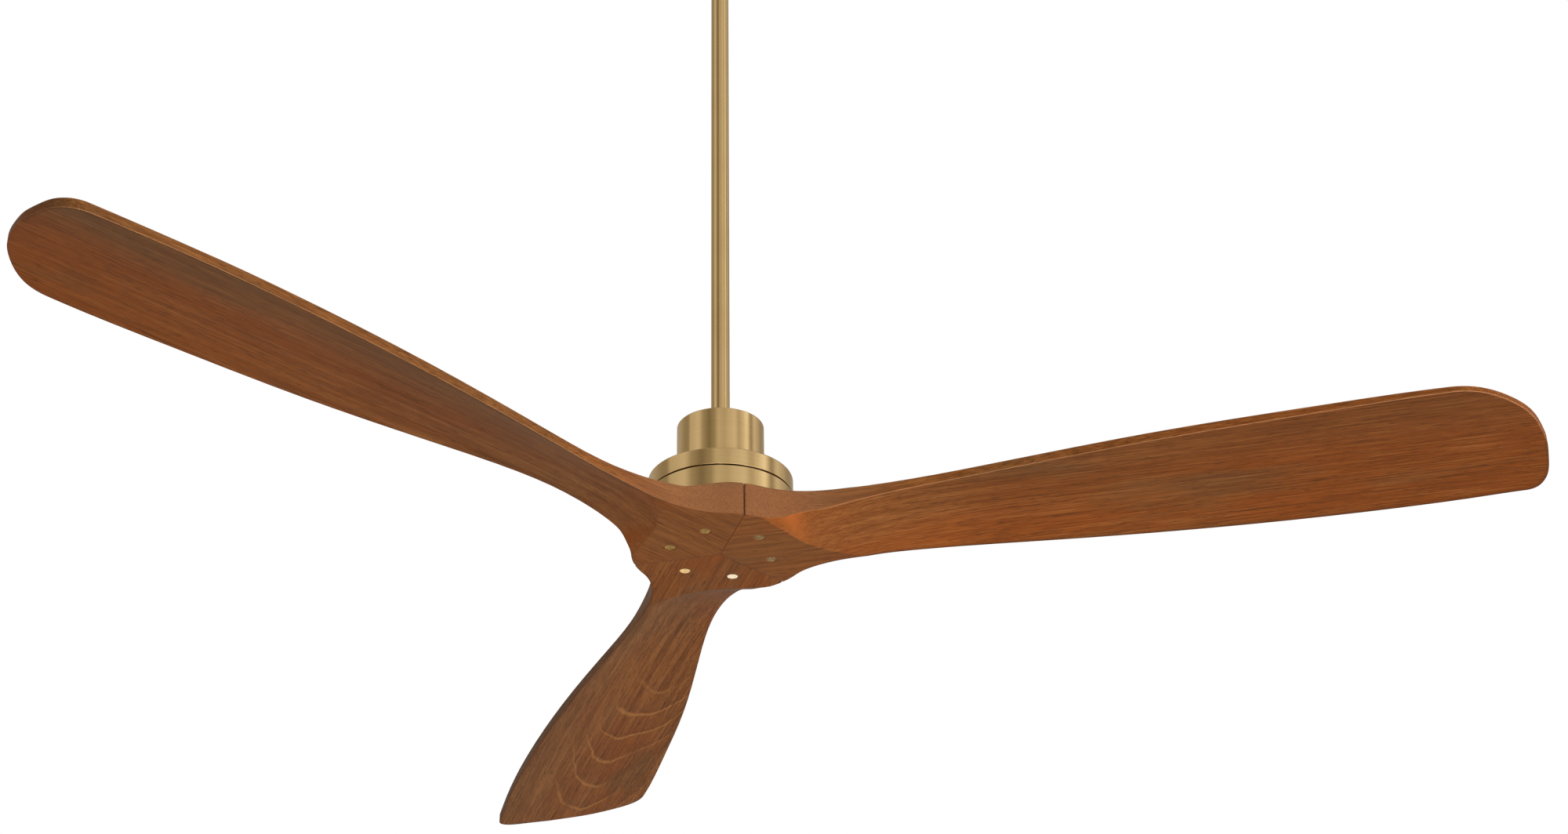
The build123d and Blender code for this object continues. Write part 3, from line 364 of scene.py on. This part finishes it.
def metal(name, colour, rough, scale=(60, 60, 900), worn=0.5):
    """Plain machined or plated metal with fine marks and darker worn patches."""
    s = Shader(name)
    marks = s.noise(s.mapped(scale), detail=3, rough=0.6)
    patches = s.noise(s.mapped((45, 45, 45)), detail=4)
    dull = tuple(c * (1 - 0.5 * worn) for c in colour)
    shade = s.mix(s.spread(patches, 0.45, 0.75), colour, dull)
    shade = s.mix(s.spread(marks, 0.55, 0.8, 0.0, 0.3), shade, dull)
    roughness = s.maths("ADD", s.spread(marks, 0.3, 0.7, rough - 0.06, rough + 0.06),
                        s.spread(patches, 0.4, 0.8, 0.0, 0.1))
    return s.finish(shade, roughness, 1.0, bump=marks, depth=0.00004, edge=0.0003)


SHEET_T = 0.0005  # one steel sheet of the stator


def laminations(name):
    """Stacked steel sheets."""
    s = Shader(name)
    height = s.apart(s.coords)[2]
    sheets = s.maths("SINE", s.times(height, 2 * math.pi / SHEET_T))
    stain = s.noise(s.mapped((70, 70, 70)), detail=4)
    colour = s.mix(s.spread(sheets, -0.4, 0.8), (0.16, 0.17, 0.19), (0.42, 0.43, 0.46))
    colour = s.mix(s.spread(stain, 0.5, 0.8, 0.0, 0.5), colour, (0.12, 0.10, 0.09))
    return s.finish(colour, s.spread(stain, 0.3, 0.7, 0.35, 0.5), 1.0, bump=sheets, depth=0.0001)


def copper_wire(name):
    """Enamelled copper, wound in fine turns."""
    s = Shader(name)
    wave = s.add("ShaderNodeTexWave", wave_type="BANDS", bands_direction="DIAGONAL")
    s.put(wave.inputs["Vector"], s.coords)
    wave.inputs["Scale"].default_value = 260
    wave.inputs["Distortion"].default_value = 0.6
    turns = wave.outputs["Fac"]
    varnish = s.noise(s.mapped((120, 120, 120)), detail=3)
    colour = s.mix(turns, (0.20, 0.060, 0.020), (0.78, 0.33, 0.14))
    colour = s.mix(s.spread(varnish, 0.5, 0.8, 0.0, 0.4), colour, (0.35, 0.12, 0.04))
    return s.finish(colour, s.spread(varnish, 0.3, 0.7, 0.22, 0.4), 0.9, bump=turns, depth=0.0002)


def moulded(name, colour, rough, grain=900):
    """Moulded plastic or rubber with a fine spark-eroded texture."""
    s = Shader(name)
    texture = s.noise(s.mapped((grain, grain, grain)), detail=2)
    dust = s.noise(s.mapped((35, 35, 35)), detail=4)
    dusty = tuple(min(1.0, c * 1.5 + 0.03) for c in colour)
    shade = s.mix(s.spread(dust, 0.5, 0.85, 0.0, 0.35), colour, dusty)
    roughness = s.maths("ADD", s.spread(texture, 0.3, 0.7, rough - 0.05, rough + 0.05),
                        s.spread(dust, 0.4, 0.8, 0.0, 0.1))
    return s.finish(shade, roughness, bump=texture, depth=0.00005, edge=0.0004)


def circuit_board(name):
    """Green solder resist over copper tracks."""
    s = Shader(name)
    cells = s.add("ShaderNodeTexVoronoi", feature="DISTANCE_TO_EDGE", distance="MANHATTAN")
    s.put(cells.inputs["Vector"], s.mapped((160, 160, 160)))
    tracks = s.spread(cells.outputs["Distance"], 0.06, 0.10)
    colour = s.mix(tracks, (0.050, 0.250, 0.085), (0.012, 0.120, 0.045))
    gloss = s.noise(s.mapped((80, 80, 80)), detail=3)
    return s.finish(colour, s.spread(gloss, 0.3, 0.7, 0.22, 0.38), bump=tracks, depth=0.00005)


def pale_floor(name):
    """A matt studio floor with a faint mottle. To the camera alone it glows, faintly near the fan and more
    further out, so that it fades into the white backdrop.
    """
    s = Shader(name)
    mottle = s.noise(s.mapped((3, 3, 3)), detail=4)
    colour = s.mix(s.spread(mottle, 0.35, 0.7), (0.86, 0.86, 0.85), (0.80, 0.80, 0.79))
    from_middle = s.add("ShaderNodeVectorMath", operation="LENGTH")
    s.put(from_middle.inputs[0], s.mapped((1, 1, 0)))
    seen = s.add("ShaderNodeLightPath").outputs["Is Camera Ray"]
    glow = s.times(seen, s.spread(from_middle.outputs["Value"], 1.0, 7.5, 0.12, 0.80))
    s.put(s.surface.inputs["Emission Color"], (1, 1, 1, 1))
    s.put(s.surface.inputs["Emission Strength"], glow)
    return s.finish(colour, s.spread(mottle, 0.3, 0.7, 0.6, 0.75), bump=mottle, depth=0.0005)


def paint(names, mat):
    """Gives CAD nodes a material in place of their packed one."""
    for name in names.split():
        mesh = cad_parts[name].data
        mesh.materials.clear()
        mesh.materials.append(mat)


# Each plank's own look: arches, redness, root tone, heart and seams, as walnut() takes them.
# The redness is painted light, the root tone partly so, and the heart a painted olive sheen.
WOOD_LOOK = {
    "blade_right": (0.02, 1.0, ROOT_STAIN_AND_LIGHT, -0.30, (0.8, 0.6)),
    "blade_far": (0.38, 0.25, PAINTED_SHEEN_GREY, 0.55, (0.8, 0.12)),
    "blade_left": (0.02, 0.75, RED_STAIN_AND_LIGHT, 0.65, (0.12, 0.6)),
}


def dress_fan():
    """A material for every CAD node."""
    for seed, (name, azimuth) in enumerate(BLADE_AZIMUTHS.items(), start=1):
        paint(name, walnut("walnut_" + name, azimuth, seed, *WOOD_LOOK[name]))
    paint("lower_housing upper_housing coupling_cover canopy", brushed_brass("brass_spun"))
    paint("downrod", brushed_brass("brass_pipe", around=False, tint=0.92))
    paint("screw_caps canopy_screws", bright_brass("brass_caps"))
    paint("rotor_cover", moulded("black_paint", (0.012, 0.012, 0.012), 0.5))
    paint("rotor_shell stator_hub",
          metal("cast_alloy", (0.60, 0.61, 0.63), 0.42, (300, 300, 300)))
    paint("motor_coupler hanger_bracket",
          metal("zinc_plate", (0.62, 0.62, 0.60), 0.34, (200, 200, 200), 0.7))
    paint("motor_shaft shaft_flange bearing_spacer coupler_pin hanger_ball_pin",
          metal("ground_steel", (0.66, 0.66, 0.67), 0.24))
    paint("lower_bearing_inner lower_bearing_outer upper_bearing_inner upper_bearing_outer"
          " lower_bearing_balls upper_bearing_balls",
          metal("bearing_steel", (0.74, 0.74, 0.75), 0.14, worn=0.2))
    paint("blade_screws flange_screws set_screws ball_set_screw rotor_cover_screws shaft_circlip"
          " coupler_clip board_posts",
          metal("black_oxide", (0.14, 0.14, 0.15), 0.38, (500, 500, 500)))
    paint("rotor_magnets", metal("coated_magnet", (0.26, 0.26, 0.28), 0.36, (250, 250, 250)))
    paint("stator_core", laminations("stator_sheets"))
    paint("stator_windings", copper_wire("enamelled_copper"))
    paint("stator_insulators receiver_box", moulded("white_nylon", (0.74, 0.74, 0.70), 0.48))
    paint("hanger_ball lower_bearing_cage upper_bearing_cage driver_parts",
          moulded("black_nylon", (0.020, 0.020, 0.021), 0.46))
    paint("motor_leads supply_leads", moulded("lead_sleeve", (0.045, 0.045, 0.050), 0.38, 1500))
    paint("hub_pad", moulded("pad_rubber", (0.016, 0.016, 0.016), 0.72, 1300))
    paint("driver_board", circuit_board("solder_resist"))


# ---- studio ----

FLOOR_DROP, FLOOR_HALF = 3.2, 8.0  # floor to ceiling plane, and half the floor's side
CAMERA_AT = Vector((0.0055, -2.6184, -1.3116))  # from the middle of the hub's underside
CAMERA_YAW, CAMERA_PITCH, CAMERA_ROLL = (math.radians(a) for a in (1.4627, 29.5688, -0.8605))
CAMERA_LENS = 60.70  # millimetres on a 36 mm sensor


def add_floor():
    """A wide pale floor far below the fan."""
    signs = ((-1, -1), (1, -1), (1, 1), (-1, 1))
    corners = [(x * FLOOR_HALF, y * FLOOR_HALF, -FLOOR_DROP) for x, y in signs]
    mesh = bpy.data.meshes.new("studio_floor")
    mesh.from_pydata(corners, [], [(0, 1, 2, 3)])
    floor = bpy.data.objects.new("studio_floor", mesh)
    floor.data.materials.append(pale_floor("floor_paint"))
    bpy.context.collection.objects.link(floor)


def add_light(name, at, size, power, aim=(0, 0, 0), glints=True):
    """A soft rectangular lamp. at and aim are measured from the hub's underside."""
    lamp = bpy.data.lights.new(name, "AREA")
    lamp.shape = "RECTANGLE"
    lamp.size, lamp.size_y = size
    lamp.energy = power
    ob = bpy.data.objects.new(name, lamp)
    hub = Vector((0, 0, HUB_Z))
    ob.location = hub + Vector(at)
    ob.rotation_euler = (hub + Vector(aim) - ob.location).to_track_quat("-Z", "Y").to_euler()
    ob.visible_camera = False
    ob.visible_glossy = glints
    bpy.context.collection.objects.link(ob)


def add_lights():
    """The key from the front right, a weak fill from the left, two lamps from below and two over
    the top."""
    add_light("key_lamp", (3.6, -3.6, -0.9), (2.2, 2.2), 480, glints=False)
    add_light("fill_lamp", (-2.4, -3.4, -0.7), (1.8, 1.8), 44, glints=False)
    add_light("under_lamp", (-0.5, -0.9, -2.2), (1.8, 1.2), 26)
    add_light("far_lamp", (-0.3, 1.5, -1.8), (1.4, 1.4), 17, aim=(-0.2, 0.6, 0), glints=False)
    add_light("top_lamp", (0.0, -1.0, 2.2), (2.6, 1.6), 45, glints=False)
    add_light("back_lamp", (0.4, 2.6, 0.9), (1.8, 1.8), 25, glints=False)


# Brightness round the room, by the angle in degrees from the camera side toward +X. The dips and
# panels show as upright bands in the brass.
ROOM_BANDS = [
    (-135, 0.60), (-103, 0.42), (-80, 0.80), (-60, 0.92), (-44, 0.48), (-30, 0.32), (-17, 0.46),
    (-5, 0.80), (10, 0.72), (24, 0.88), (38, 1.00), (50, 0.70), (61, 0.95), (74, 1.40),
    (88, 0.42), (101, 0.95), (116, 0.70), (134, 0.45), (180, 0.55),
]
ROOM_WARMTH = 0.85  # how far the dips lean to brown
ROOM_SEEN, ROOM_SHED = 0.8, 0.32  # the room's strength in reflections, and as light on surfaces


def room_panels():
    """The room's bands as (place, colour) stops of a ramp once round the sky."""
    stops = []
    for place, grey in sorted(((0.25 + angle / 360) % 1, grey) for angle, grey in ROOM_BANDS):
        warm = ROOM_WARMTH + (1 - ROOM_WARMTH) * min(grey, 1)
        stops.append((place, (grey, grey * warm, grey * warm ** 3)))
    return stops


def add_world():
    """White to the camera. Reflections see a grey room with bright upright panels, and the light
    that the room itself sheds is dim."""
    world = bpy.data.worlds.new("studio_world")
    bpy.context.scene.world = world
    world.use_nodes = True
    world.node_tree.nodes.clear()
    n = Nodes(world.node_tree)

    def backdrop(colour, strength):
        node = n.add("ShaderNodeBackground")
        n.put(node.inputs["Color"], colour)
        n.put(node.inputs["Strength"], strength)
        return node.outputs[0]

    def either(choice, no, yes):
        node = n.add("ShaderNodeMixShader")
        for socket, value in zip(node.inputs, (choice, no, yes)):
            n.put(socket, value)
        return node.outputs[0]

    x, y, _ = n.apart(n.add("ShaderNodeTexCoord").outputs["Generated"])
    bearing = n.spread(n.maths("ARCTAN2", y, x), -math.pi, math.pi)
    panels = n.ramp(bearing, *room_panels(), interpolation="EASE")
    path = n.add("ShaderNodeLightPath")
    light = either(path.outputs["Is Diffuse Ray"], backdrop(panels, ROOM_SEEN), backdrop(panels, ROOM_SHED))
    seen = either(path.outputs["Is Camera Ray"], light, backdrop((1, 1, 1, 1), 1.0))
    n.put(n.add("ShaderNodeOutputWorld").inputs[0], seen)


def add_camera():
    """The camera below and in front of the fan, looking up at it."""
    yaw, pitch, roll = CAMERA_YAW, CAMERA_PITCH, CAMERA_ROLL
    forward = Vector((math.sin(yaw) * math.cos(pitch), math.cos(yaw) * math.cos(pitch), math.sin(pitch)))
    level = Vector((math.cos(yaw), -math.sin(yaw), 0))
    upright = level.cross(forward)
    right = math.cos(roll) * level + math.sin(roll) * upright
    up = -math.sin(roll) * level + math.cos(roll) * upright
    camera = bpy.data.objects.new("camera", bpy.data.cameras.new("camera"))
    camera.data.sensor_width = 36
    camera.data.lens = CAMERA_LENS
    turn = Matrix((right, up, -forward)).transposed().to_4x4()
    camera.matrix_world = Matrix.Translation(Vector((0, 0, HUB_Z)) + CAMERA_AT) @ turn
    bpy.context.collection.objects.link(camera)
    bpy.context.scene.camera = camera


dress_fan()
add_floor()
add_lights()
add_world()
add_camera()
bpy.context.scene.view_settings.view_transform = "Standard"
